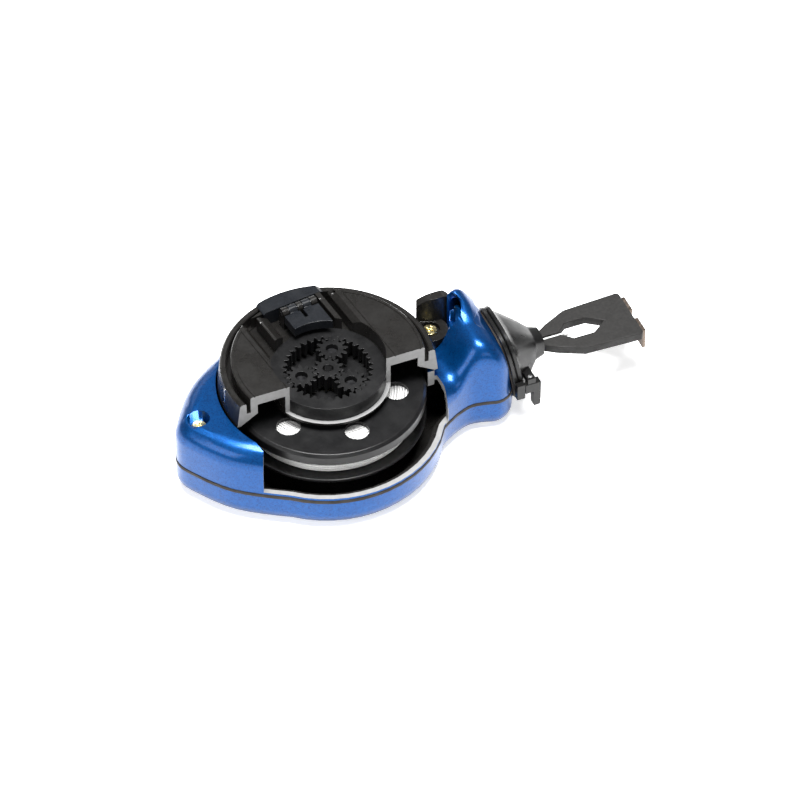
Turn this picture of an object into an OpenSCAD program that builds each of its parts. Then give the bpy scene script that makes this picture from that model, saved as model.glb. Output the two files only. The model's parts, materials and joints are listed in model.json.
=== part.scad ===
// Chalk line reel, cutaway display build. Millimetres.
// The origin is on the reel's axis at the rear case's flat face, +X runs to the hook and +Z to the crank.

/* [Case] */
// Radius of the round body at the seam
body_r = 44.8; // [44.4:0.2:45.6]
// Thickness of both case walls
case_wall = 2; // [1.8:0.1:2.2]
// Height of the seam above the rear face
seam_z = 14; // [13.6:0.2:14.4]
// Height of the flat shoulder round the dial
shoulder_z = 34; // [33.6:0.1:34.2]
// Height of the saddle between the dial and the hump
saddle_z = 30; // [29.8:0.1:30.4]
// Height of the hump over the neck
hump_z = 42; // [41.6:0.1:42.4]
// Extra height of the hump's ridge behind the lever
ridge_h = 6; // [5.6:0.1:6.2]
// Height of the crown where the neck ends
neck_end_z = 36.4; // [36:0.2:37]
// How much higher the crown's +Y side is at the neck's end
neck_tilt = 2.4; // [2:0.2:2.6]
// Where the neck's end face stands
neck_end_x = 70.6; // [70.2:0.2:71]

/* [Dial and crank] */
// Outer radius of the dial's rim
dial_r = 42; // [41.8:0.1:42]
// Height of the dial's face
dial_z = 47; // [46.8:0.1:47.4]
// Turn of the crank channel from the +Y direction
channel_turn = 7.5; // [0:0.5:15]
// Half the width of the crank channel
channel_half = 18; // [17.8:0.1:18.2]

/* [Spool] */
// Radius of the spool's flanges
flange_r = 37.2; // [36.6:0.2:37.4]
// Top of the upper flange
flange_z = 30.6; // [30.4:0.1:30.6]
// Radius of the wound line
winding_r = 33; // [30:0.5:34]
// Diameter of the chalk line
line_d = 1; // [0.8:0.1:1.2]

/* [Gears] */
// Gear module
gear_m = 0.9; // [0.88:0.01:0.9]
// Teeth on the sun gear and on each planet
small_teeth = 12; // [12:12:12]
// Backlash at the pitch circle
backlash = 0.16; // [0.14:0.02:0.24]

/* [Nozzle and hook] */
// Radius of the nozzle's base
nozzle_r = 13.5; // [13:0.25:13.5]
// Where the nozzle's tip ends
nozzle_tip_x = 87.5; // [87:0.25:88]
// Length of the hook plate
hook_len = 38; // [37:0.5:39]
// Half the width of the hook plate at its far end
hook_half = 12.2; // [11.8:0.1:12.6]

/* [Hidden] */
$fn = 96;
eps = 0.05;
gap = 0.3;
blue = [0.06, 0.25, 0.68];
black = [0.06, 0.06, 0.06];
grey = [0.2, 0.2, 0.21];
steel = [0.62, 0.6, 0.57];
brass = [0.8, 0.7, 0.4];
white = [0.9, 0.9, 0.88];

// Case outline: half of it, from the tail's tip round the body to the neck's end
tail_curve = [[-58.2, -8.2], [-61.6, 0], [-58.2, 8.2], [-47.6, 22], [-30.5, 33.8], [-16, 42]];
neck_curve = [[35.4, 26.3], [38.2, 22.4], [42.4, 19.4], [47.2, 16.9], [52.7, 15.2],
              [58.2, 15.9], [63.4, 17.2], [67.4, 16], [70, 13.6], [72, 10], [73, 8]];
body_x = -0.65;
// How far along the axis each stretch of the outline is drawn in towards
spine = [[-61, -46], [-57.6, -40], [-47.6, -24], [-30.5, -4], [-16, -1], [35, 1],
         [38.2, 4], [42.4, 30], [47.2, 42], [52.7, 52], [63.4, 60], [74, 59]];
seam_gap = 0.8;
rear_top = seam_z - seam_gap;
front_base = seam_z + seam_gap;
cut_z = front_base + 1;
rear_round = 7;
edge_round = 8;
neck_edge = 3.4;
cut_plane = -10;
open_r = dial_r + 0.6;
// How far the neck's end face leans back for each millimetre of height
neck_lean = 0.2;
ledge_z = 31.1;
// Radius of the room for the spool's upper flange
flange_room = 38;

// Clutch lever
lever_pos = [46.6, 11.5];
lever_r = 7;
lever_base = 28;
lever_top = 33.4;
wing_top = 45;
lever_swing = 22;

// Screws
tail_screw_x = -52.5;
neck_screw = [60, 10.6];
plate_arms = [50, 88, 124];
// The liner's steps up the rear case's fillet: outer inset, foot, inner inset, top
liner_steps = [[4.7, 3.7, 10.5, 5.4], [3.2, 5.2, 6.2, 7], [2.4, 6.8, 3.9, 14.6]];
// Solid fill round the lever's pocket: start in x, inset from the outline, top
hump_fill = [[51, 3.5, 34.5], [53.5, 3, 37.5], [55.5, 1.5, 38], [55.5, 3.5, 41]];
scoop_pos = [53, 9];
scoop_r = 5;

// Gear train
planet_angles = [60, 180, 300];
pitch_r = gear_m * small_teeth / 2;
ring_teeth = 3 * small_teeth;
ring_pitch_r = gear_m * ring_teeth / 2;
planet_reach = 2 * pitch_r;
gear_z = 34.4;
gear_h = 6;
pressure = 25;
drum_r = 22;
skirt_r = 23.6;
skirt_z = 33.2;
post_r = 2;
run_fit = 0.06;
pin_r = 2.3;

// Spool
flange_plate = 1.8;
winding_low = 18;
winding_top = flange_z - flange_plate;
line_z = 22;

// Crank channel, in the dial's own turned frame
tray_floor = 39;
hinge_y = 29.5;
hinge_z = 46.2;
knuckle_r = 1.9;
crank_pin_r = 0.8;
arm_x = [-3.4, 11.3];
knuckles = [[-0.6, 2.7], [5.3, 8.6]];
lugs = [[-3.4, -0.9], [3, 5], [8.9, 11.3]];

// Nozzle, its hinge and its latch
nozzle_z = 22;
gasket_t = 0.8;
collar_t = 1.8;
nozzle_x = neck_end_x + gasket_t + collar_t + gap;
door_hinge = [75, 17.4];
door_pin_r = 1.2;
mouth_r = 9.5;
latch_pin = [76.8, -15.4];
latch_pin_r = 0.9;
section_points = 49;
// Power of the section's curve: 1 is an ellipse, less is squarer
squareness = 0.6;

// Hook
hook_x = nozzle_tip_x + 0.5;
hook_top = 23;
hook_thick = 3.7;
hook_end = hook_x + hook_len;
claw_z = hook_top - 2.5;
claw_thick = 1.2;

// ---- curves and lofts ----

function lerp(a, b, t) = a + (b - a) * t;

function smooth(t) = let (c = min(1, max(0, t))) c * c * (3 - 2 * c);

// Point t of the way along stretch i of a Catmull-Rom curve
function curve_point(p, i, t) =
    let (a = p[i - 1], b = p[i], c = p[i + 1], d = p[i + 2])
    0.5 * (2 * b + (c - a) * t + (2 * a - 5 * b + 4 * c - d) * t * t
           + (3 * b - a - 3 * c + d) * t * t * t);

function curve(p, steps) =
    [for (i = [1 : len(p) - 3], k = [0 : steps - 1]) curve_point(p, i, k / steps)];

half_outline = concat(curve(tail_curve, 4),
                      [for (a = [130 : -7 : 34]) [body_x + body_r * cos(a), body_r * sin(a)]],
                      curve(neck_curve, 3));
half_count = len(half_outline);

outline = concat(half_outline,
                 [for (i = [half_count - 1 : -1 : 1]) [half_outline[i][0], -half_outline[i][1]]]);
outline_count = len(outline);

function pull_length(p) = norm([lookup(p[0], spine), 0] - p);

// The point p of the outline drawn in by d towards the spine
function pull(p, d) =
    let (l = pull_length(p))
    p + ([lookup(p[0], spine), 0] - p) * (min(d, l - 0.8) / l);

function inset_outline(d) = [for (p = outline) pull(p, d)];

// Height of the front case's outer skin at the point p
function skin_z(p) = shoulder_z - (shoulder_z - saddle_z) * smooth((p[0] - 30) / 12)
    + (hump_z - saddle_z) * smooth((p[0] - 44) / 13)
    - (hump_z - neck_end_z) * smooth((p[0] - 58) / 11)
    + neck_tilt * smooth((p[1] + 14) / 28) * smooth((p[0] - 56) / 8)
    + ridge_h * smooth((p[1] - 2) / 10) * smooth((p[0] - 46) / 9)
      * (1 - smooth((p[0] - 57) / 9));

// Radius of the front case's rounded edge at the point p
function edge(p) = lerp(edge_round, neck_edge, smooth((p[0] - 44) / 10) * smooth((p[1] + 8) / 16));

// The neck's end face at height z
function end_x(z) = neck_end_x - neck_lean * (z - seam_z);

// The point p at height z, kept w inside the neck's end face
function with_z(p, z, w) = [min(p[0], end_x(z) - w), p[1], z];

// Rings of the front case from the seam to the spine, set in by the wall thickness w
function front_rings(w) = concat(
    [[for (p = outline) with_z(pull(p, w), front_base, w)]],
    [for (a = [0 : 15 : 90])
        [for (p = outline)
            let (q = pull(p, w + edge(p) * (1 - cos(a))))
            with_z(q, skin_z(q) - w - edge(p) * (1 - sin(a)), w)]],
    [for (t = [0.3, 0.65, 0.97])
        [for (p = outline)
            let (q = pull(p, lerp(w + edge(p), pull_length(p) - 0.8, t)))
            with_z(q, skin_z(q) - w, w)]]);

// Rings of the rear case from its flat face up to z, set in by w
function rear_rings(w, z) = concat(
    [for (a = [0 : 15 : 90])
        [for (p = outline)
            with_z(pull(p, w + rear_round * (1 - sin(a))), w + rear_round * (1 - cos(a)), w)]],
    [[for (p = outline) with_z(pull(p, w), z, w)]]);

function reverse(list) = [for (i = [len(list) - 1 : -1 : 0]) list[i]];

// Triangles that close a ring of n points from its first to its middle, starting at point s
function cap(s, n) = concat([[s, s + 1, s + n - 1]],
    [for (i = [1 : (n - 1) / 2 - 1], side = [0, 1])
        side == 0 ? [s + i, s + i + 1, s + n - i - 1] : [s + i, s + n - i - 1, s + n - i]]);

// A closed solid through rings of points, each clockwise as seen from where the rings lead
module loft(rings) {
    n = len(rings[0]);
    walls = [for (k = [0 : len(rings) - 2], i = [0 : n - 1], side = [0, 1])
        let (a = k * n + i, b = k * n + (i + 1) % n)
        side == 0 ? [a, b, b + n] : [a, b + n, a + n]];
    floor_cap = [for (f = cap(0, n)) reverse(f)];
    polyhedron(points = [for (ring = rings, p = ring) p],
               faces = concat(floor_cap, walls, cap((len(rings) - 1) * n, n)));
}

// ---- small shapes ----

module at(p, z = 0) {
    translate([p[0], p[1], z]) children();
}

module box(x, y, z) {
    translate([x[0], y[0], z[0]]) cube([x[1] - x[0], y[1] - y[0], z[1] - z[0]]);
}

module tube(r_out, r_in, z, h) {
    translate([0, 0, z]) difference() {
        cylinder(r = r_out, h = h);
        translate([0, 0, -1]) cylinder(r = r_in, h = h + 2);
    }
}

// A shape turned about the +X direction through the nozzle's axis
module on_nozzle_axis(x = 0) {
    translate([x, 0, nozzle_z]) rotate([0, 90, 0]) children();
}

module in_dial() {
    rotate(channel_turn) children();
}

module cross_screw(head_r, head_h, shank_r, shank_len) {
    difference() {
        union() {
            cylinder(r = head_r, h = head_h, $fn = 48);
            translate([0, 0, -shank_len]) cylinder(r = shank_r, h = shank_len + eps, $fn = 32);
        }
        for (turn = [45, 135]) rotate(turn)
            translate([-head_r * 0.6, -0.35, head_h - 0.9]) cube([head_r * 1.2, 0.7, 2]);
    }
}

// ---- case ----

module rear_case() color(blue) difference() {
    union() {
        loft(concat(rear_rings(0, rear_top), reverse(rear_rings(case_wall, rear_top))));
        translate([0, 0, 1]) cylinder(r = 5, h = 7);
        translate([tail_screw_x, 0, 1]) cylinder(r = 4.2, h = rear_top - 1.2);
        for (side = [-1, 1]) translate([neck_screw[0], side * neck_screw[1], 1.6])
            cylinder(r = 3, h = rear_top - 1.8);
    }
    on_nozzle_axis(neck_end_x - 5) cylinder(r = mouth_r, h = 12);
    translate([0, 0, case_wall]) cylinder(r = post_r, h = 10);
    translate([tail_screw_x, 0, 5]) cylinder(r = 1.4, h = 12);
    for (side = [-1, 1]) translate([neck_screw[0], side * neck_screw[1], 0]) {
        translate([0, 0, -1]) cylinder(r = 2.8, h = 4.2);
        translate([0, 0, 1]) cylinder(r = 1.5, h = 20);
    }
}

// Plan of what the cutaway takes off the front case
module cutaway_plan() {
    polygon([[-38, -70], [-38.6, -30], [-36.4, -25], [-38, -18], [-38, cut_plane],
             [40.4, cut_plane], [41.2, -15.5], [40, -23], [40, -70]]);
}

module sector(r, low, high) {
    polygon(concat([[0, 0]],
                   [for (a = [low : (high - low) / 12 : high]) [r * cos(a), r * sin(a)]]));
}

// Part of the plan round the lever, inside the outline and beyond x
module pocket_plan(inset, x) intersection() {
    translate(lever_pos) circle(r = 12);
    polygon(inset_outline(inset));
    translate([x, -30]) square([40, 60]);
}

module front_shell() {
    loft(concat(reverse(front_rings(case_wall)), front_rings(0)));
    translate([0, 0, lever_base - 3]) linear_extrude(4.4) pocket_plan(1.2, 30);
    for (fill = hump_fill)
        translate([0, 0, lever_base - 1]) linear_extrude(fill[2] - lever_base + 1)
            pocket_plan(fill[1], fill[0]);
    translate([tail_screw_x, 0, front_base]) cylinder(r = 5.4, h = 17.3);
    for (side = [-1, 1])
        translate([neck_screw[0], side * neck_screw[1], front_base]) cylinder(r = 3, h = 24.6);
}

// The wall that stands under the dial's rim where the saddle dips below it
module rim_seat() {
    translate([0, 0, 26]) linear_extrude(7.3) intersection() {
        difference() {
            circle(r = 40.6, $fn = 144);
            circle(r = flange_room, $fn = 144);
        }
        sector(60, -16, 26);
    }
}

module front_case() color(blue) difference() {
    union() {
        difference() {
            front_shell();
            translate([0, 0, ledge_z]) cylinder(r = open_r, h = 30, $fn = 144);
            translate([0, 0, 20]) cylinder(r = flange_room, h = 20, $fn = 144);
        }
        rim_seat();
    }
    translate([0, 0, cut_z]) linear_extrude(40) cutaway_plan();
    on_nozzle_axis(neck_end_x - 8) cylinder(r = mouth_r, h = 12);
    at(lever_pos, lever_base - 0.4) cylinder(r = lever_r + 1.3, h = 30);
    at(scoop_pos, lever_top - 0.6) cylinder(r = scoop_r, h = 30);
    at(lever_pos, lever_base + 1) linear_extrude(30) sector(11.6, 16, 136 + lever_swing);
    at(lever_pos, 20) cylinder(r = 1.5, h = 20);
    translate([tail_screw_x, 0, 28]) cylinder(r = 4.2, h = 20);
    translate([tail_screw_x, 0, 10]) cylinder(r = 1.6, h = 20);
    for (side = [-1, 1])
        translate([neck_screw[0], side * neck_screw[1], 10]) cylinder(r = 1.2, h = 14);
    for (a = plate_arms) rotate(a) translate([41.4, 0, 20]) cylinder(r = 0.9, h = 20);
}

module case_gasket() color(black) difference() {
    translate([0, 0, rear_top]) linear_extrude(2 * seam_gap) difference() {
        polygon(inset_outline(-0.25));
        polygon(inset_outline(case_wall));
    }
    box([neck_end_x - 0.4, 100], [-40, 40], [0, 60]);
}

module rear_liner() color(black) difference() {
    union() {
        translate([0, 0, case_wall + gap]) linear_extrude(1.7) polygon(inset_outline(9.4));
        for (step = liner_steps) translate([0, 0, step[1]]) linear_extrude(step[3] - step[1])
            difference() {
                polygon(inset_outline(step[0]));
                polygon(inset_outline(step[2]));
            }
    }
    translate([0, 0, -1]) cylinder(r = 5.4, h = 20);
    translate([tail_screw_x, 0, -1]) cylinder(r = 4.8, h = 30);
    box([50, 100], [-40, 40], [-1, 60]);
}

module tail_screw() color(brass)
    translate([tail_screw_x, 0, 28]) cross_screw(2.75, 2.2, 1.4, 20);

module neck_screws() color(steel)
    for (side = [-1, 1]) translate([neck_screw[0], side * neck_screw[1], 3.2])
        rotate([180, 0, 0]) cross_screw(2.6, 2, 1.2, 18);

// ---- spool ----

module center_post() color(steel) {
    translate([0, 0, case_wall]) cylinder(r = post_r, h = 36.4 - case_wall);
}

module lower_bush() color(brass) tube(4.6, post_r, 8, 1);

module upper_bush() color(brass) tube(5, post_r + run_fit, winding_top, flange_z - winding_top);

module spool_hub() color(grey) rotate_extrude() {
    polygon([[post_r + run_fit, 9.3], [6, 9.3], [6, 16.2], [flange_r - 0.6, 16.2],
             [flange_r, 16.8], [flange_r, winding_low - 0.4], [flange_r - 0.6, winding_low],
             [14, winding_low], [14, winding_top], [post_r + run_fit, winding_top]]);
}

module spool_flange() color(grey) difference() {
    rotate_extrude($fn = 144) polygon([[5, winding_top], [flange_r - 1.8, winding_top],
             [flange_r - 1.8, flange_z - 4.8], [flange_r, flange_z - 4.8],
             [flange_r, flange_z - 1.2], [flange_r - 1.2, flange_z - 0.2],
             [flange_r - 2.6, flange_z - 0.2], [flange_r - 3, flange_z],
             [5, flange_z]]);
    for (i = [0 : 5]) rotate(32.4 + 60 * i) translate([25.8, 0, 20]) cylinder(r = 4.65, h = 20);
}

module line_winding() color(white) tube(winding_r, 14, winding_low, winding_top - winding_low);

// ---- gears ----

// Half the angle that a tooth covers at radius r, for a pitch radius p
function tooth_half(p, teeth, r) =
    let (base = p * cos(pressure), a = acos(min(1, base / r)))
    90 / teeth - backlash / p * 90 / PI / 2
    + (tan(pressure) - tan(a)) * 180 / PI - pressure + a;

function flank(p, teeth, radii) = [for (r = radii) [r, tooth_half(p, teeth, r)]];

// Outline of a gear whose flanks run through the given radii from root to tip
function gear_outline(p, teeth, radii, turn) =
    [for (t = [0 : teeth - 1], side = [-1, 1], k = [0 : len(radii) - 1])
        let (f = flank(p, teeth, radii)[side < 0 ? k : len(radii) - 1 - k],
             a = turn + t * 360 / teeth + side * f[1])
        [f[0] * cos(a), f[0] * sin(a)]];

small_radii = [for (k = [-1.15, -0.5, 0, 0.45, 0.9]) pitch_r + k * gear_m];

module small_gear(bore_r, turn) linear_extrude(gear_h) difference() {
    polygon(gear_outline(pitch_r, small_teeth, small_radii, turn));
    circle(r = bore_r);
}

module sun_gear() color(grey) {
    translate([0, 0, gear_z]) small_gear(post_r + run_fit, 0);
    tube(3.6, post_r + run_fit, flange_z, gear_z - flange_z + eps);
}

module planet_gear(i) color(grey) rotate(planet_angles[i])
    translate([planet_reach, 0, gear_z]) rotate(-planet_angles[i])
        small_gear(pin_r + run_fit, 15);

// The ring's tooth spaces are the outline of a 36-tooth gear with its spaces wider than its teeth
module ring_gear() color(grey) translate([0, 0, gear_z]) linear_extrude(gear_h) difference() {
    circle(r = drum_r);
    polygon(gear_outline(ring_pitch_r, ring_teeth,
        [for (k = [-0.8, -0.4, 0, 0.5, 1.1]) ring_pitch_r + k * gear_m], 5));
}

module planet_pins() color(steel)
    for (a = planet_angles) rotate(a) translate([planet_reach, 0, 32.8]) {
        cylinder(r = 3.4, h = gear_z - 32.8 - 0.2);
        cylinder(r = pin_r, h = 5.6);
    }

module plate_arm_plan() {
    translate([10, -4]) square([32.2, 8]);
}

module gear_plate() color(grey) translate([0, 0, ledge_z]) linear_extrude(1.7) difference() {
    union() {
        circle(r = drum_r - 1);
        intersection() {
            for (a = plate_arms) rotate(a) plate_arm_plan();
            circle(r = open_r - 0.2);
        }
    }
    circle(r = 4.6);
    for (a = plate_arms) rotate(a) translate([41.4, 0]) circle(r = 0.9, $fn = 32);
}

module gear_plate_screws() color(steel)
    for (a = plate_arms) rotate(a) translate([40.6, 0, ledge_z + 1.7])
        cylinder(r = 1.5, h = 0.5, $fn = 32);

// ---- dial and crank ----

module dial_profile() {
    polygon([[drum_r - eps, dial_z - 4.4], [drum_r - eps, dial_z], [36.3, dial_z],
             [36.7, dial_z - 0.4], [36.7, 39.5], [38.3, 39.5], [38.3, 44], [38.7, 44.4],
             [40.2, 44.4], [40.8, 43.8], [dial_r, 33.7], [40.6, 33.7], [34, 38.2],
             [34, dial_z - 4.4]]);
}

module channel_plan(half) {
    in_dial() translate([-half, 0]) square([2 * half, 60]);
}

// The floor, walls and rails of the crank channel, outside the gear drum
module channel_tray() intersection() {
    in_dial() {
        box([-channel_half - 1.6, channel_half + 1.6], [10, 60], [tray_floor - 1.4, tray_floor]);
        for (side = [-1, 1]) translate([side * (channel_half + 0.8) - 0.8, 10, tray_floor - 1.4])
            cube([1.6, 50, dial_z - 4 - tray_floor + 1.4]);
        translate([0, 32.5, 0]) rotate([90, 0, 0]) linear_extrude(14)
            polygon([[-12.6, tray_floor], [-12.6, 45.6], [-11.6, 45.6], [-8, 43.2], [-8, tray_floor]]);
        box([13.2, 15.2], [10, 33.2], [tray_floor, 45.6]);
        box([-channel_half, -9], [34.5, 40], [tray_floor, 44.4]);
        for (lug = lugs) hull() {
            translate([lug[0], hinge_y, hinge_z]) rotate([0, 90, 0])
                cylinder(r = knuckle_r, h = lug[1] - lug[0], $fn = 32);
            box(lug, [hinge_y - knuckle_r, hinge_y + knuckle_r], [tray_floor, tray_floor + 1]);
        }
    }
    cylinder(r = 37.2, h = 60);
}

module label_grooves() intersection() {
    union() {
        tube(35.3, 34.8, dial_z - 0.3, 1);
        in_dial() for (side = [-1, 1])
            translate([side * 21.9 - 0.25, -60, dial_z - 0.3]) cube([0.5, 120, 1]);
    }
    difference() {
        cylinder(r = 35.3, h = 60);
        in_dial() box([-21.65, 21.65], [-60, 60], [0, 80]);
    }
}

module dial() color(black) difference() {
    union() {
        difference() {
            union() {
                rotate_extrude($fn = 144) dial_profile();
                tube(skirt_r, drum_r - 0.5, skirt_z, dial_z - 4 - skirt_z);
            }
            translate([0, 0, tray_floor]) linear_extrude(30) intersection() {
                channel_plan(channel_half);
                circle(r = 36.7);
            }
            in_dial() translate([0, 60, 0]) rotate([90, 0, 0]) linear_extrude(60)
                polygon([[-channel_half, dial_z - 2.2], [-channel_half - 2, dial_z + eps],
                         [channel_half + 2, dial_z + eps], [channel_half, dial_z - 2.2]]);
        }
        channel_tray();
    }
    label_grooves();
    translate([0, 0, skirt_z + 1]) box([-60, 60], [-60, cut_plane], [0, 40]);
    translate([0, 0, skirt_z - 1]) difference() {
        box([-60, 60], [-60, cut_plane], [0, 40]);
        cylinder(r = skirt_r, h = 60);
    }
    translate([0, 0, skirt_z - 1]) cylinder(r = drum_r, h = 60);
    in_dial() translate([-60, hinge_y, hinge_z]) rotate([0, 90, 0])
        cylinder(r = crank_pin_r, h = 120, $fn = 32);
    rotate(177) box([dial_r - 1.8, dial_r + 1], [-1.2, 1.2], [36, 43]);
}

module crank_rest() color(grey) intersection() {
    in_dial() union() {
        translate([-9, 60, 0]) rotate([90, 0, 0]) linear_extrude(26.6)
            polygon([[0, 44.45], [0, 44.8], [1.2, 45.5], [24.6, 45.5], [26, 44.45]]);
        intersection() {
            box([-8.8, 12], [33.4, 36], [tray_floor, 45]);
            cylinder(r = 36.6, h = 60);
        }
    }
    cylinder(r = 40.4, h = 60);
}

module crank_arm() color(grey) difference() {
    in_dial() union() {
        box(arm_x, [14, hinge_y - knuckle_r - 0.4], [42.6, 46.6]);
        for (k = knuckles) {
            translate([k[0], hinge_y, hinge_z]) rotate([0, 90, 0])
                cylinder(r = knuckle_r, h = k[1] - k[0], $fn = 48);
            box(k, [hinge_y - knuckle_r - 1, hinge_y - 0.5], [44.4, 46.6]);
        }
    }
    cylinder(r = 19.4, h = 80);
    in_dial() {
        translate([-20, hinge_y, hinge_z]) rotate([0, 90, 0])
            cylinder(r = crank_pin_r + run_fit, h = 40, $fn = 48);
        box([3.3, 4.7], [23, 28], [40, 50]);
    }
}

module crank_pin() color(steel) in_dial() translate([arm_x[0], hinge_y, hinge_z])
    rotate([0, 90, 0]) cylinder(r = crank_pin_r, h = arm_x[1] - arm_x[0], $fn = 48);

module detent_pin() color(steel) rotate(177) translate([dial_r - 1.15, 0, 36])
    cylinder(r = 0.6, h = 7, $fn = 24);

// ---- clutch lever ----

module wing_plan() {
    polygon([[-3.4, 5.6], [3, 3.2], [10.2, 3.4], [10.3, 4.4], [9.1, 6.4],
             [6.4, 8.6], [3.4, 9.6], [0, 9.2], [-2.4, 8]]);
}

module clutch_lever() color(black) at(lever_pos) difference() {
    union() {
        translate([0, 0, lever_base]) cylinder(r = lever_r, h = lever_top - lever_base);
        translate([0, 0, lever_base + 1.4]) linear_extrude(wing_top - lever_base - 1.4) wing_plan();
        translate([0, 0, lever_base - 3.6]) cylinder(r = 1.42, h = 4);
    }
    translate([0, 0, lever_top - 2]) cylinder(r = 4, h = 2 + eps);
    translate([0, 0, lever_base - 4]) cylinder(r = 0.9, h = 20);
    translate([3, 15.4, lever_top + 2.6]) rotate([24, 0, 0]) translate([-12, -4, 5]) cube([24, 12, 12]);
    difference() {
        box([-8, 14], [-2, 14], [lever_top + 4, lever_top + 20]);
        translate([4.6, 20, 35.4]) rotate([90, 0, 0]) cylinder(r = 9.8, h = 30);
    }
}

module lever_screw() color(brass)
    at(lever_pos, lever_top - 2) cross_screw(2.7, 1.7, 0.9, 8.6);

module clutch_cam() color(steel) at(lever_pos, lever_base - 4.8) difference() {
    linear_extrude(1.2) union() {
        circle(r = 2.6, $fn = 32);
        translate([-6.6, -1]) square([6, 2]);
    }
    translate([0, 0, -1]) cylinder(r = 0.9, h = 6, $fn = 32);
}

// ---- nozzle, hinge and latch ----

// x to a power, keeping its sign
function signed_pow(x, p) = sign(x) * pow(abs(x), p);

// A rounded section across the nozzle: half width w, half height h, at x on the seam's level
function section(x, w, h, lean = neck_lean) = [for (i = [0 : section_points - 1])
    let (a = 360 * i / section_points, z = nozzle_z + h * signed_pow(cos(a), squareness))
    [x - lean * (z - seam_z), w * signed_pow(sin(a), squareness), z]];

module neck_gasket() color(black) difference() {
    loft([section(neck_end_x, 14, 16.4), section(neck_end_x + gasket_t, 14, 16.4)]);
    on_nozzle_axis(neck_end_x - 5) cylinder(r = mouth_r + 0.4, h = 12);
}

module door_knuckle(low, high, reach_x) difference() {
    union() {
        at(door_hinge, low) cylinder(r = 2.3, h = high - low, $fn = 48);
        box([min(reach_x, door_hinge[0]), max(reach_x, door_hinge[0])],
            [9.5, door_hinge[1] + 1.4], [low, high]);
    }
    at(door_hinge, low - 1) cylinder(r = door_pin_r, h = high - low + 2, $fn = 48);
}

module neck_collar() color(black) difference() {
    union() {
        loft([for (x = [0, 0.3, collar_t - 0.3, collar_t])
            let (inset = x == 0 || x == collar_t ? 0.3 : 0)
            section(neck_end_x + gasket_t + x, 14.8 - inset, 17.6 - inset)]);
        for (z = [10, 21]) difference() {
            door_knuckle(z, z + 3, end_x(z + 1.5) + gasket_t + 0.5);
            box([end_x(z + 3) + gasket_t + collar_t + 0.1, 90], [-40, door_hinge[1] - 2.3], [0, 60]);
        }
        box([70.8, 74], [-17.4, -15], [12, 19]);
        box([71.45, 72.3], [-15.2, -12.8], [14.2, 17.2]);
    }
    on_nozzle_axis(neck_end_x - 5) cylinder(r = mouth_r + 0.4, h = 12);
}

module door_hinge_pin() color(steel)
    at(door_hinge, 10) cylinder(r = door_pin_r, h = 14, $fn = 48);

// Section t of the way along the nozzle's body, from its base ring to its tip
function nozzle_section(t) =
    section(lerp(nozzle_x + 2.4, 84, t), lerp(13.2, 5.6, t), lerp(15.8, 6, t),
            neck_lean * (1 - t));

module nozzle() color(black) difference() {
    union() {
        loft(concat([section(nozzle_x, 14.3, 17.3), section(nozzle_x + 0.4, 14.7, 17.7),
                     section(nozzle_x + 1.6, 14.7, 17.7), section(nozzle_x + 2, 14.2, 17)],
                    [for (t = [0 : 0.1 : 1]) nozzle_section(t)],
                    [section(nozzle_tip_x, 4.8, 4.8, 0)]));
        box([75.2, 78.4], [latch_pin[1] - 1.8, -8], [18.6, 21]);
        difference() {
            door_knuckle(13.3, 20.7, nozzle_x + 1);
            box([0, nozzle_x], [-40, 40], [0, 60]);
        }
    }
    on_nozzle_axis(nozzle_x - 6) cylinder(r = 9, h = 7.6);
    on_nozzle_axis(nozzle_x) cylinder(r = 5, h = 7);
    on_nozzle_axis(nozzle_x) cylinder(r = 1.9, h = 30, $fn = 48);
    at(latch_pin, 10) cylinder(r = latch_pin_r, h = 20, $fn = 48);
}

module line_wiper() color(white)
    on_nozzle_axis(nozzle_x + 2.6) tube(4.9, line_d / 2 + gap, 0, 4.2);

module wiper_cap() color(black)
    on_nozzle_axis(nozzle_x + 0.2) tube(8.9, 1.6, 0, 1.4);

module line_eyelet() color(steel) on_nozzle_axis(nozzle_tip_x - 3) {
    tube(1.9, line_d / 2 + gap, 0, 3);
    tube(2.6, line_d / 2 + gap, 3, 0.4);
}

module latch_clip() color(black) difference() {
    union() {
        at(latch_pin, 14) cylinder(r = 1.9, h = 4.3, $fn = 48);
        box([74.3, latch_pin[0]], [latch_pin[1] - 1.9, latch_pin[1] + 0.2], [14, 18.3]);
        box([latch_pin[0], 80.6], [latch_pin[1] - 1.9, latch_pin[1] + 0.6], [14, 18.3]);
        box([77.8, 80.6], [latch_pin[1] - 1.9, latch_pin[1] + 1.4], [6.6, 18.3]);
    }
    at(latch_pin, 10) cylinder(r = latch_pin_r + run_fit, h = 10, $fn = 48);
}

module latch_pin() color(steel)
    at(latch_pin, 13.8) cylinder(r = latch_pin_r, h = 21 - 13.8, $fn = 48);

// ---- line and hook ----

module hook_plan() {
    polygon([[hook_x, -3.8], [hook_x + 4, -6.4], [hook_x + 14, -11.2], [hook_end - 1, -hook_half],
             [hook_end, -hook_half + 1], [hook_end, hook_half - 1], [hook_end - 1, hook_half],
             [hook_x + 14, 11.2], [hook_x + 4, 6.4], [hook_x, 3.8]]);
}

module hook_opening() {
    polygon([[hook_x + 8, 0.6], [hook_x + 12, 4.4], [hook_x + 20.5, 4.4], [hook_x + 26.6, 0],
             [hook_x + 20.5, -4.4], [hook_x + 12, -4.4], [hook_x + 8, -0.6]]);
}

module hook_plate() color(grey) difference() {
    translate([0, 0, hook_top - hook_thick]) linear_extrude(hook_thick) difference() {
        hook_plan();
        hook_opening();
        translate([hook_x - 1, -0.75]) square([11, 1.5]);
    }
    box([hook_x + 28, hook_end + 2], [-10, 10], [claw_z, claw_z + claw_thick]);
}

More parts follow.
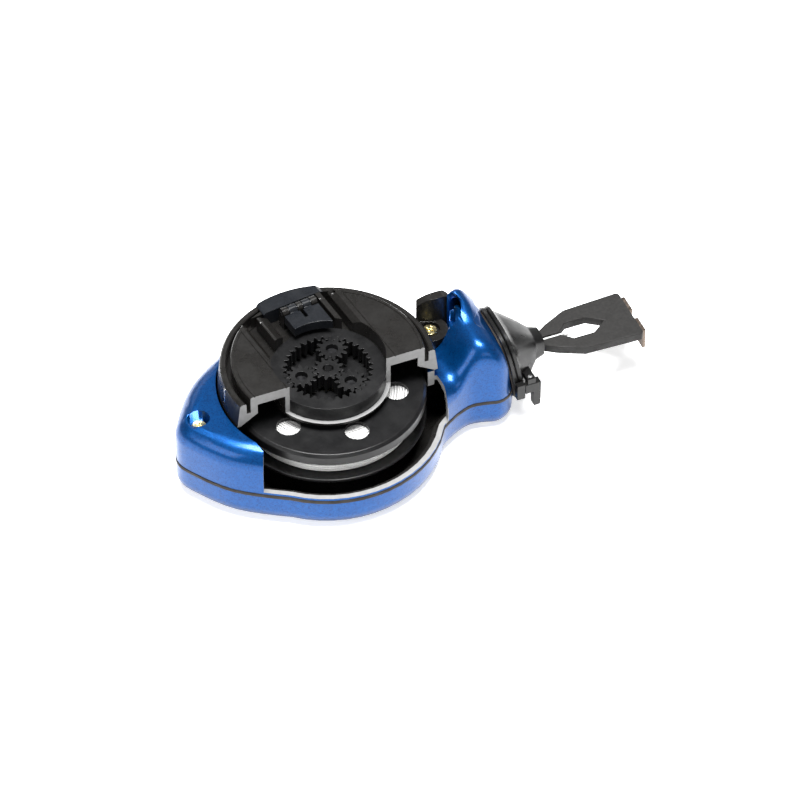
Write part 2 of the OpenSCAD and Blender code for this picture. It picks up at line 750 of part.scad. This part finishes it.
module hook_claw() color(steel) difference() {
    union() {
        box([hook_x + 28, hook_end + 1.8], [-10, 10], [claw_z, claw_z + claw_thick]);
        box([hook_end + 0.6, hook_end + 1.8], [-10, 10], [claw_z - 8, claw_z + claw_thick]);
    }
    box([hook_end + 0.1, hook_end + 3], [-2.4, 2.4], [0, 60]);
}

lead_end = [54, 0];
lead_turn = acos((winding_r + line_d / 2) / lead_end[0]);
lead_start = (winding_r + line_d / 2 + 0.05) * [cos(lead_turn), sin(lead_turn)];

module line_lead() color(white) translate([lead_start[0], lead_start[1], line_z])
    rotate(atan2(lead_end[1] - lead_start[1], lead_end[0] - lead_start[0])) rotate([0, 90, 0])
        cylinder(r = line_d / 2, h = norm(lead_end - lead_start), $fn = 24);

module line_tail() color(white) on_nozzle_axis(lead_end[0] + 1)
    cylinder(r = line_d / 2, h = hook_x + 9.1 - lead_end[0] - 1, $fn = 24);

module line_knot() color(white) translate([hook_x + 10.4, 0, nozzle_z])
    sphere(r = 1.3, $fn = 32);

rear_case();
front_case();
case_gasket();
rear_liner();
tail_screw();
neck_screws();
center_post();
lower_bush();
upper_bush();
spool_hub();
spool_flange();
line_winding();
sun_gear();
planet_gear(0);  // planet_gear_1
planet_gear(1);  // planet_gear_2
planet_gear(2);  // planet_gear_3
planet_pins();
gear_plate();
gear_plate_screws();
dial();
ring_gear();
crank_rest();
crank_arm();
crank_pin();
detent_pin();
clutch_lever();
lever_screw();
clutch_cam();
neck_gasket();
neck_collar();
door_hinge_pin();
nozzle();
line_wiper();
wiper_cap();
line_eyelet();
latch_clip();
latch_pin();
hook_plate();
hook_claw();
line_lead();
line_tail();
line_knot();
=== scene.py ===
"""Looks of the cutaway chalk line reel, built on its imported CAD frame."""
import json
import math

import bmesh
import bpy
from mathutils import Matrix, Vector
from mathutils.bvhtree import BVHTree

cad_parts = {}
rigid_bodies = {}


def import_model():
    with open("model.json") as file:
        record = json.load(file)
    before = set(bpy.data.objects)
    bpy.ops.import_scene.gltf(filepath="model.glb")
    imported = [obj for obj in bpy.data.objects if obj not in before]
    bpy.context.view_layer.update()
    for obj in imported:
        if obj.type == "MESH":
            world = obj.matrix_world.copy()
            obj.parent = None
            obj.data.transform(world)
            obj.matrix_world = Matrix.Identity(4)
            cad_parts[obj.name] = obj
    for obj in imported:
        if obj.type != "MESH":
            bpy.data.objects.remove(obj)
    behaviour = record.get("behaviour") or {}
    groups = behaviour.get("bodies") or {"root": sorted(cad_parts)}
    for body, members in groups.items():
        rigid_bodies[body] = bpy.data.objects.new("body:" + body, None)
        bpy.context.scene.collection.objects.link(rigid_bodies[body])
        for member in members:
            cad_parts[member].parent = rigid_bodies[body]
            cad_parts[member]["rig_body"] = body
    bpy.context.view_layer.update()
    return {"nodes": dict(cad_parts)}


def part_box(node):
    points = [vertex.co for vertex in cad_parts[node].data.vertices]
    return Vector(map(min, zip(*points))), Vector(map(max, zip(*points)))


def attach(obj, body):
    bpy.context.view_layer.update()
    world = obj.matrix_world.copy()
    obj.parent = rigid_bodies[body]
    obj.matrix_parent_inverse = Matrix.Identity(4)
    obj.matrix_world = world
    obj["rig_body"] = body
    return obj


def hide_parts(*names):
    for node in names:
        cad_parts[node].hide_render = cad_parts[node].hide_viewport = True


MM = 0.001
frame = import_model()
nodes = frame["nodes"]


# ---- camera, lights and floor ----

VIEW_AZIMUTH = math.radians(-22.8)
VIEW_ELEVATION = math.radians(44.6)
VIEW_WIDTH = 304 * MM
TARGET = Vector((26.4, -7.2, 20)) * MM
LENS = 250
SENSOR = 36

# Each light's place and size in metres, and its watts
LIGHTS = {
    "overhead": ((0.0, -0.02, 0.75), (0.42, 0.3), 17),
    "left_window": ((-0.75, -0.25, 0.45), (0.4, 0.4), 2.4),
    "back_strip": ((0.25, 0.8, 0.42), (0.9, 0.25), 1.0),
    "front_fill": ((0.1, -0.9, 0.45), (0.6, 0.3), 1.2),
}
LIGHT_TARGET = Vector((0.02, 0, 0.02))
SKY_STRENGTH = 0.22
WHITE = (1, 1, 1, 1)

FLOOR_SIDE = 6
FLOOR_GAP = 0.05 * MM


def aim(obj, place, target):
    """Links the object into the scene at the place, looking at the target."""
    obj.location = place
    obj.rotation_mode = "QUATERNION"
    obj.rotation_quaternion = (target - place).to_track_quat("-Z", "Y")
    bpy.context.scene.collection.objects.link(obj)


def make_camera():
    data = bpy.data.cameras.new("camera")
    data.lens = LENS
    data.sensor_width = SENSOR
    data.clip_end = 20
    back = Vector((math.sin(VIEW_AZIMUTH) * math.cos(VIEW_ELEVATION),
                   -math.cos(VIEW_AZIMUTH) * math.cos(VIEW_ELEVATION),
                   math.sin(VIEW_ELEVATION)))
    camera = bpy.data.objects.new("camera", data)
    aim(camera, TARGET + back * (VIEW_WIDTH * LENS / SENSOR), TARGET)
    bpy.context.scene.camera = camera


def make_lights():
    for name, (place, size, watts) in LIGHTS.items():
        data = bpy.data.lights.new(name, "AREA")
        data.shape = "RECTANGLE"
        data.size, data.size_y = size
        data.energy = watts
        aim(bpy.data.objects.new(name, data), Vector(place), LIGHT_TARGET)
    world = bpy.data.worlds.new("studio")
    world.use_nodes = True
    set_inputs(world.node_tree.nodes["Background"],
               {"Color": WHITE, "Strength": SKY_STRENGTH})
    bpy.context.scene.world = world
    bpy.context.scene.view_settings.view_transform = "Standard"


def make_floor():
    bpy.ops.mesh.primitive_plane_add(size=FLOOR_SIDE, location=(0, 0, -FLOOR_GAP))
    floor = bpy.context.object
    floor.name = "floor"
    material, bsdf = new_material("floor_paper")
    speckle(material, bsdf, (0.86, 0.86, 0.86), 0.02, 40)
    set_inputs(bsdf, {"Roughness": 0.9, "Emission Color": WHITE, "Emission Strength": 0.6})
    floor.data.materials.append(material)


# ---- materials: scales are in cells per metre of object space ----

def new_material(name):
    material = bpy.data.materials.new(name)
    material.use_nodes = True
    return material, material.node_tree.nodes["Principled BSDF"]


def add_node(material, kind, **settings):
    node = material.node_tree.nodes.new(kind)
    for key, value in settings.items():
        setattr(node, key, value)
    return node


def set_inputs(node, values):
    for name, value in values.items():
        node.inputs[name].default_value = value


def connect(material, source, target):
    material.node_tree.links.new(source, target)


def texture(material, kind, values, **settings):
    """A texture node that reads object coordinates."""
    node = add_node(material, kind, **settings)
    set_inputs(node, values)
    coords = add_node(material, "ShaderNodeTexCoord").outputs["Object"]
    connect(material, coords, node.inputs["Vector"])
    return node


def noise(material, scale, detail=3):
    values = {"Scale": scale, "Detail": detail}
    return texture(material, "ShaderNodeTexNoise", values).outputs["Fac"]


def ramp(material, value, low, high, start=0.3, stop=0.7):
    """Maps a texture's value onto two colours."""
    node = add_node(material, "ShaderNodeValToRGB")
    for element, position, color in zip(node.color_ramp.elements, (start, stop), (low, high)):
        element.position = position
        element.color = (*color, 1)
    connect(material, value, node.inputs["Fac"])
    return node.outputs["Color"]


def speckle(material, bsdf, color, amount, scale):
    """Varies the colour by the amount to the darker and the lighter side."""
    low = [c * (1 - amount) for c in color]
    high = [min(1, c * (1 + amount)) for c in color]
    tone = ramp(material, noise(material, scale), low, high)
    connect(material, tone, bsdf.inputs["Base Color"])


def bump(material, bsdf, value, height, strength):
    node = add_node(material, "ShaderNodeBump")
    set_inputs(node, {"Strength": strength, "Distance": height})
    connect(material, value, node.inputs["Height"])
    connect(material, node.outputs["Normal"], bsdf.inputs["Normal"])


def rough_range(material, bsdf, low, high, scale):
    """Roughness that wanders between low and high."""
    node = add_node(material, "ShaderNodeMapRange")
    set_inputs(node, {"From Min": 0.35, "From Max": 0.65, "To Min": low, "To Max": high})
    connect(material, noise(material, scale, 2), node.inputs["Value"])
    connect(material, node.outputs["Result"], bsdf.inputs["Roughness"])


def plastic(name, color, rough, grain=0.02 * MM, grain_scale=2600, coat=0.0):
    """Moulded plastic with a fine spark-eroded grain."""
    material, bsdf = new_material(name)
    speckle(material, bsdf, color, 0.22, 900)
    rough_range(material, bsdf, rough * 0.85, rough * 1.2, 160)
    bump(material, bsdf, noise(material, grain_scale, 4), grain, 0.4)
    set_inputs(bsdf, {"Specular IOR Level": 0.26, "Coat Weight": coat,
                      "Coat Roughness": 0.12})
    return material


def metal(name, color, rough):
    """Worked metal with fine marks and an uneven gloss."""
    material, bsdf = new_material(name)
    speckle(material, bsdf, color, 0.15, 1500)
    rough_range(material, bsdf, rough * 0.8, rough * 1.3, 700)
    bump(material, bsdf, noise(material, 5000), 0.01 * MM, 0.3)
    set_inputs(bsdf, {"Metallic": 1})
    return material


def flake_paint():
    """Blue metallic paint: bright flakes under a glossy clear coat."""
    material, bsdf = new_material("blue_flake_paint")
    cells = texture(material, "ShaderNodeTexVoronoi", {"Scale": 2300, "Detail": 3})
    flakes = cells.outputs["Color"]
    cloud = noise(material, 700, 5)
    tone = ramp(material, flakes, (0.0, 0.010, 0.055), (0.0, 0.055, 0.21), 0.1, 0.9)
    shade = ramp(material, cloud, (0.72, 0.76, 0.8), (1, 1, 1))
    mix = add_node(material, "ShaderNodeMix", data_type="RGBA", blend_type="MULTIPLY")
    set_inputs(mix, {"Factor": 0.8})
    connect(material, tone, mix.inputs["A"])
    connect(material, shade, mix.inputs["B"])
    connect(material, mix.outputs["Result"], bsdf.inputs["Base Color"])
    bump(material, bsdf, flakes, 0.02 * MM, 0.35)
    set_inputs(bsdf, {"Metallic": 0.72, "Specular IOR Level": 0.25, "Roughness": 0.34,
                      "Coat Weight": 0.3, "Coat Roughness": 0.14})
    return material


def cut_paint():
    """The matt light-grey paint on every sawn face."""
    material, bsdf = new_material("cut_face_paint")
    speckle(material, bsdf, (0.2, 0.2, 0.2), 0.08, 500)
    bump(material, bsdf, noise(material, 1800, 4), 0.03 * MM, 0.4)
    set_inputs(bsdf, {"Roughness": 0.7})
    return material


def thread(name, color):
    """Braided line or felt: crossed fine strands with a soft sheen."""
    material, bsdf = new_material(name)
    speckle(material, bsdf, color, 0.1, 2200)
    strands = texture(material, "ShaderNodeTexWave", {"Scale": 900, "Distortion": 3},
                      wave_type="BANDS", bands_direction="DIAGONAL")
    bump(material, bsdf, strands.outputs["Fac"], 0.08 * MM, 0.6)
    set_inputs(bsdf, {"Roughness": 0.85, "Sheen Weight": 0.4})
    return material


MATERIALS = {
    "paint": flake_paint(),
    "cut": cut_paint(),
    "inside": plastic("dark_inner_coat", (0.009, 0.009, 0.01), 0.5),
    "rubber": plastic("seal_rubber", (0.014, 0.011, 0.009), 0.6, 0.03 * MM, 1500),
    "black": plastic("black_moulding", (0.0075, 0.007, 0.0065), 0.3, coat=0.2),
    "gear": plastic("gear_moulding", (0.005, 0.005, 0.0053), 0.34, coat=0.1),
    "crank": plastic("crank_moulding", (0.006, 0.007, 0.009), 0.32, coat=0.1),
    "gloss": plastic("gloss_moulding", (0.005, 0.005, 0.005), 0.32, 0.01 * MM, 900, 0.08),
    "hook": plastic("hook_moulding", (0.014, 0.0135, 0.013), 0.6, 0.04 * MM, 1900),
    "brass": metal("brass_plating", (0.8, 0.7, 0.38), 0.26),
    "steel": metal("bright_steel", (0.6, 0.6, 0.61), 0.28),
    "dark_steel": metal("oiled_steel", (0.035, 0.035, 0.037), 0.4),
    "hook_steel": metal("dull_steel", (0.15, 0.12, 0.1), 0.42),
    "line": thread("braided_line", (0.62, 0.62, 0.61)),
    "felt": thread("felt", (0.6, 0.59, 0.55)),
}


# ---- refined copies of the CAD shells ----

WELD_REACH = 0.002 * MM
FLAT_ANGLE = math.radians(0.6)
BEVEL_OVER = math.radians(35)
SMOOTH_UNDER = math.radians(38)


def weld(mesh):
    """Joins the tessellation's split points and merges its flat triangles."""
    bm = bmesh.new()
    bm.from_mesh(mesh)
    bmesh.ops.remove_doubles(bm, verts=bm.verts, dist=WELD_REACH)
    bmesh.ops.dissolve_limit(bm, angle_limit=FLAT_ANGLE, verts=bm.verts, edges=bm.edges)
    bm.to_mesh(mesh)
    bm.free()


def apply_modifiers(obj):
    depsgraph = bpy.context.evaluated_depsgraph_get()
    mesh = bpy.data.meshes.new_from_object(obj.evaluated_get(depsgraph))
    obj.modifiers.clear()
    obj.data = mesh


def smooth_shade(mesh, angle):
    mesh.polygons.foreach_set("use_smooth", [True] * len(mesh.polygons))
    mesh.set_sharp_from_angle(angle=angle)


def finished_piece(node, material, bevel=0.0):
    """A welded copy of a CAD node, its edges rounded by bevel mm."""
    source = nodes[node]
    obj = bpy.data.objects.new(node + "_skin", source.data.copy())
    bpy.context.scene.collection.objects.link(obj)
    weld(obj.data)
    if bevel:
        rounding = obj.modifiers.new("rounding", "BEVEL")
        rounding.width = bevel * MM
        rounding.segments = 2
        rounding.limit_method = "ANGLE"
        rounding.angle_limit = BEVEL_OVER
        apply_modifiers(obj)
    smooth_shade(obj.data, SMOOTH_UNDER)
    weighted = obj.modifiers.new("normals", "WEIGHTED_NORMAL")
    weighted.keep_sharp = True
    apply_modifiers(obj)
    obj.data.materials.clear()
    obj.data.materials.append(MATERIALS[material])
    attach(obj, source["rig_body"])
    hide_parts(node)
    return obj


def repaint(obj, material, test):
    """Gives the faces that test(centre in mm, normal) picks another material."""
    obj.data.materials.append(MATERIALS[material])
    index = len(obj.data.materials) - 1
    for face in obj.data.polygons:
        if test(face.center / MM, face.normal):
            face.material_index = index


# ---- which faces are sawn, and which are inside; all in mm ----

CUT_Y = -10
CUT_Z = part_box("front_case")[0].z / MM + 1
SAW_LEFT = [(-38, -18), (-36.4, -25), (-38.6, -30), (-38, -70)]
SAW_RIGHT = [(30, -10), (40.4, -10), (41.2, -15.5), (40, -23), (40, -70)]
SAW_EDGES = list(zip(SAW_LEFT, SAW_LEFT[1:])) + list(zip(SAW_RIGHT, SAW_RIGHT[1:]))
SAW_REACH = 0.12

# Limits of a normal's z for a level, an upright and a tilted face
LEVEL = 0.9
UPRIGHT = 0.3
TILTED = 0.12

# The outside's pockets, the lever's and the tail screw's: centre and radius
POCKETS = [((46.6, 11.5), 13), ((-52.5, 0), 5.6)]
POCKETS_OVER = 24
CHAMBER_TOP = 33.5
RAY_START = 0.2
DIAL_SKIRT_R = 23.8


def near_segment(x, y, a, b):
    """Whether the point lies on the saw line from a to b."""
    length = math.dist(a, b)
    along = ((x - a[0]) * (b[0] - a[0]) + (y - a[1]) * (b[1] - a[1])) / length
    across = ((x - a[0]) * (b[1] - a[1]) - (y - a[1]) * (b[0] - a[0])) / length
    return -SAW_REACH < along < length + SAW_REACH and abs(across) < SAW_REACH


def is_case_cut(c, n):
    if n.z > LEVEL and abs(c.z - CUT_Z) < 0.1:
        return True
    return abs(n.z) < UPRIGHT and any(near_segment(c.x, c.y, a, b) for a, b in SAW_EDGES)


def is_dial_cut(c, n):
    if n.z > LEVEL:
        return c.y < CUT_Y and math.hypot(c.x, c.y) < DIAL_SKIRT_R
    return n.y < -0.95 and abs(c.y - CUT_Y) < 0.06


def inside_test(obj):
    """A test for the faces of a case half that belong to the line chamber."""
    tree = BVHTree.FromPolygons([v.co for v in obj.data.vertices],
                                [f.vertices for f in obj.data.polygons])
    is_rear = obj.name.startswith("rear")

    def is_inside(c, n):
        in_pocket = any(math.dist((c.x, c.y), at) < reach for at, reach in POCKETS)
        if c.z > POCKETS_OVER and in_pocket:
            return False
        if is_rear and n.z > UPRIGHT:
            return True
        if not is_rear and (abs(n.z) > TILTED or c.z > CHAMBER_TOP):
            return n.z < -TILTED
        # An upright face is inside if it looks across the chamber at the half itself
        across = Vector((n.x, n.y, 0)).normalized()
        if across.length < 0.5:
            return False
        return tree.ray_cast((c + n * RAY_START) * MM, across)[0] is not None

    return is_inside


def make_case():
    front = finished_piece("front_case", "paint")
    repaint(front, "inside", inside_test(front))
    repaint(front, "cut", is_case_cut)
    rear = finished_piece("rear_case", "paint")
    repaint(rear, "inside", inside_test(rear))
    finished_piece("case_gasket", "rubber", 0.3)
    finished_piece("rear_liner", "black", 0.15)


def make_dial():
    dial = finished_piece("dial", "black", 0.12)
    repaint(dial, "cut", is_dial_cut)


# ---- the wound line ----

LINE_R = 0.5 * MM
HUB_R = 15 * MM
SIDE_WOBBLE = 0.04 * MM
TOP_WOBBLE = 0.06 * MM
TURN_STEPS = 96
TUBE_SIDES = 6


def add_turn(bm, radius, height, wobble):
    """One round turn of line, a closed tube about the reel's axis."""
    rings = []
    for i in range(TURN_STEPS):
        angle = 2 * math.pi * i / TURN_STEPS
        sway = wobble * math.sin(angle * 3 + radius * 2000 + height * 900)
        ring = []
        for k in range(TUBE_SIDES):
            side = 2 * math.pi * k / TUBE_SIDES
            r = radius + sway + LINE_R * math.cos(side)
            ring.append(bm.verts.new((r * math.cos(angle), r * math.sin(angle),
                                      height + LINE_R * math.sin(side))))
        rings.append(ring)
    for here, there in zip(rings, rings[1:] + rings[:1]):
        for k in range(TUBE_SIDES):
            after = (k + 1) % TUBE_SIDES
            bm.faces.new((here[k], there[k], there[after], here[after]))


def make_winding():
    """The outer turns and the top turns of the wound line, over the core that they hide."""
    low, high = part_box("line_winding")
    depth = high.z - low.z
    bm = bmesh.new()
    for i in range(int(depth / (2 * LINE_R))):
        inset = LINE_R * (1.1 + 0.1 * (i % 2))
        add_turn(bm, high.x - inset, low.z + LINE_R * (2 * i + 1.3), SIDE_WOBBLE)
    radius = high.x - 3 * LINE_R
    while radius > HUB_R:
        add_turn(bm, radius, high.z - LINE_R * 1.1, TOP_WOBBLE)
        radius -= 2 * LINE_R
    core_r = high.x - 2 * LINE_R
    core = bmesh.ops.create_cone(bm, cap_ends=True, segments=TURN_STEPS, radius1=core_r,
                                 radius2=core_r, depth=depth - 3 * LINE_R)
    middle = (low.z + high.z) / 2 - LINE_R
    bmesh.ops.translate(bm, verts=core["verts"], vec=(0, 0, middle))
    mesh = bpy.data.meshes.new("wound_line")
    bm.to_mesh(mesh)
    bm.free()
    smooth_shade(mesh, math.radians(60))
    mesh.materials.append(MATERIALS["line"])
    obj = bpy.data.objects.new("wound_line", mesh)
    bpy.context.scene.collection.objects.link(obj)
    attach(obj, "spool")
    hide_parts("line_winding")


# ---- every other node: its material, and how far its edges are rounded in mm ----

FINISHES = {
    "tail_screw": ("brass", 0.12),
    "lever_screw": ("brass", 0.12),
    "lower_bush": ("brass", 0.1),
    "upper_bush": ("brass", 0.1),
    "neck_screws": ("steel", 0.12),
    "center_post": ("steel", 0.2),
    "planet_pins": ("dark_steel", 0.15),
    "gear_plate_screws": ("steel", 0.1),
    "crank_pin": ("steel", 0.1),
    "detent_pin": ("steel", 0.1),
    "clutch_cam": ("steel", 0.1),
    "door_hinge_pin": ("steel", 0.15),
    "line_eyelet": ("steel", 0.08),
    "latch_pin": ("steel", 0.1),
    "hook_claw": ("hook_steel", 0.12),
    "spool_hub": ("gear", 0.2),
    "spool_flange": ("gear", 0.2),
    "sun_gear": ("gear", 0.1),
    "planet_gear_1": ("gear", 0.1),
    "planet_gear_2": ("gear", 0.1),
    "planet_gear_3": ("gear", 0.1),
    "ring_gear": ("gear", 0.1),
    "gear_plate": ("gear", 0.15),
    "crank_rest": ("crank", 0.3),
    "crank_arm": ("crank", 0.25),
    "clutch_lever": ("black", 0.35),
    "neck_gasket": ("rubber", 0.1),
    "neck_collar": ("gloss", 0.15),
    "nozzle": ("gloss", 0.15),
    "wiper_cap": ("gloss", 0.15),
    "latch_clip": ("gloss", 0.4),
    "hook_plate": ("hook", 0.4),
    "line_wiper": ("felt", 0.2),
    "line_lead": ("line", 0.05),
    "line_tail": ("line", 0.05),
    "line_knot": ("line", 0.05),
}

make_camera()
make_lights()
make_floor()
make_case()
make_dial()
make_winding()
for node_name, (finish, rounding_mm) in FINISHES.items():
    finished_piece(node_name, finish, rounding_mm)
